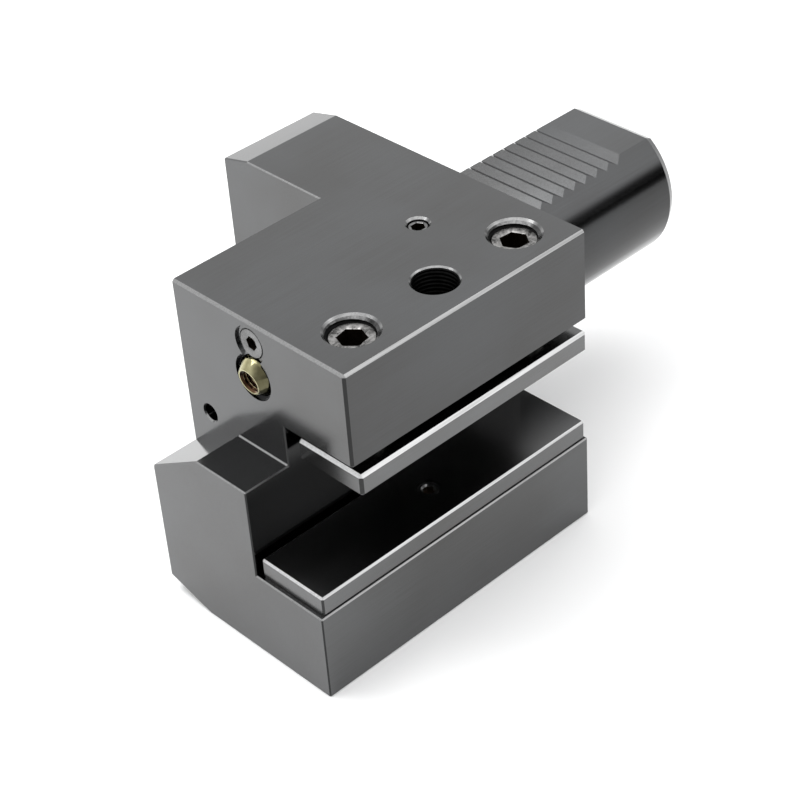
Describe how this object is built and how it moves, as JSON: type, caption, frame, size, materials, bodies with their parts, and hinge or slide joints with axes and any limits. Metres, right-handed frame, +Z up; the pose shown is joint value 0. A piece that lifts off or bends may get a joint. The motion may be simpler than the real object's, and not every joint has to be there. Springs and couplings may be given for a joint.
{
  "type": "axial turning tool holder",
  "caption": "Tool holder with a round serrated shank and an open side slot in which a screwed-down pressure plate clamps a square turning tool; ball coolant nozzle beside the slot.",
  "frame": {"origin": "on the shank's axis, in the contact face of the flange that seats on the turret", "axes": "+X along the shank and out of its serrated end, +Z up towards the face with the clamping screws, -Y out of the open side of the tool slot"},
  "size_m": [0.148, 0.0894, 0.0807],
  "materials": {
    "ground_steel": "case-hardened steel, dark and finely ground on every face",
    "plate_steel": "hardened steel, dark, ground smooth with bright broken edges",
    "screw_steel": "bright oiled steel",
    "dark_screw_steel": "black-oxide steel",
    "spring_steel": "drawn spring wire",
    "brass": "turned brass",
    "seal_rubber": "smooth nitrile rubber"
  },
  "bodies": {
    "holder": {"holder_body": "ground_steel", "base_plate": "plate_steel", "base_plate_screw": "dark_screw_steel", "base_plate_pins": "screw_steel", "nozzle_lock_screw": "dark_screw_steel", "nozzle_seal_ring": "seal_rubber", "shank_seal_ring": "seal_rubber", "inlet_seal_ring": "seal_rubber", "top_channel_plug": "dark_screw_steel", "front_channel_plug": "dark_screw_steel", "shank_channel_plug": "dark_screw_steel", "side_channel_plug": "dark_screw_steel", "lift_spring": "spring_steel"},
    "clamp_plate": {"pressure_plate": "plate_steel", "plate_lift_screw": "dark_screw_steel"},
    "front_screw": {"front_clamp_screw": "screw_steel"},
    "rear_screw": {"rear_clamp_screw": "screw_steel"},
    "nozzle": {"coolant_nozzle": "brass"}
  },
  "joints": [
    {"name": "plate_slide", "type": "slide", "parent": "holder", "child": "clamp_plate", "axis": [0, 0, 1], "range_m": [-0.0025, 0.0028], "deforming": ["lift_spring"]},
    {"name": "front_screw_turn", "type": "hinge", "parent": "clamp_plate", "child": "front_screw", "pos_m": [-0.0601, -0.0356, 0.031], "axis": [0, 0, 1], "range_deg": [-515, 577]},
    {"name": "rear_screw_turn", "type": "hinge", "parent": "clamp_plate", "child": "rear_screw", "pos_m": [-0.0111, -0.0356, 0.031], "axis": [0, 0, 1], "range_deg": [-515, 577]},
    {"name": "nozzle_tilt", "type": "hinge", "parent": "holder", "child": "nozzle", "pos_m": [-0.0703, -0.0165, 0.0182], "axis": [0, -1, 0], "range_deg": [-28, 12]}
  ],
  "couplings": [
    {"joint": "front_screw_turn", "follows": "plate_slide", "rad_per_m": 3590.4},
    {"joint": "rear_screw_turn", "follows": "plate_slide", "rad_per_m": 3590.4}
  ]
}
